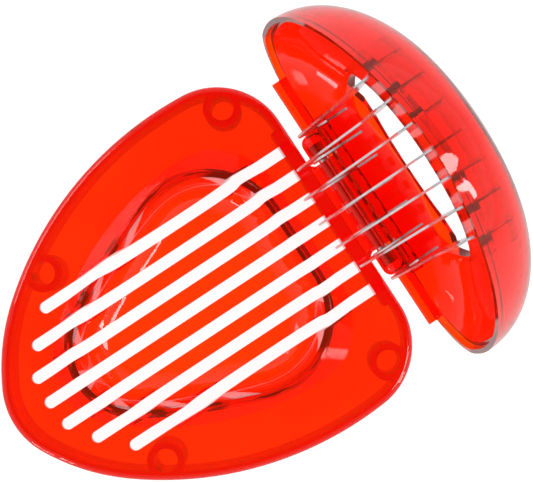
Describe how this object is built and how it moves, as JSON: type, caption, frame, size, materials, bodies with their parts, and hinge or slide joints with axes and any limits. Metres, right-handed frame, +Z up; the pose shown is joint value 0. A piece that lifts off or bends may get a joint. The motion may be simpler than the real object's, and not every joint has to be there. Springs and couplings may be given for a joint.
{
  "type": "egg slicer",
  "caption": "Hand-held fruit and egg slicer in a strawberry outline: slotted base with a bowl, and a hinged translucent dome lid that carries thin steel blades.",
  "frame": {"origin": "centre of the bottom of the bounding box, with the lid resting open: on the table, on the middle plane", "axes": "+X to the right with the strawberry's tip towards the viewer, +Y from the tip towards the hinge, +Z up; the hinge axis runs along X"},
  "size_m": [0.0896, 0.1266, 0.1168],
  "materials": {
    "base_plastic": "glossy translucent orange-red plastic",
    "lid_plastic": "glossy translucent orange-red plastic",
    "insert_plastic": "glossy translucent red plastic",
    "pin_steel": "bright drawn steel",
    "blade_steel": "bright rolled stainless steel sheet"
  },
  "bodies": {
    "base": {"base_shell": "base_plastic"},
    "lid": {"lid_shell": "lid_plastic", "root_holder": "insert_plastic", "tip_holder": "insert_plastic", "hinge_pin": "pin_steel", "blade_1": "blade_steel", "blade_2": "blade_steel", "blade_3": "blade_steel", "blade_4": "blade_steel", "blade_5": "blade_steel", "blade_6": "blade_steel", "blade_7": "blade_steel"}
  },
  "joints": [
    {"name": "lid_hinge", "type": "hinge", "parent": "base", "child": "lid", "pos_m": [0, 0.0346, 0.02], "axis": [1, 0, 0], "range_deg": [0, 98.5]}
  ]
}
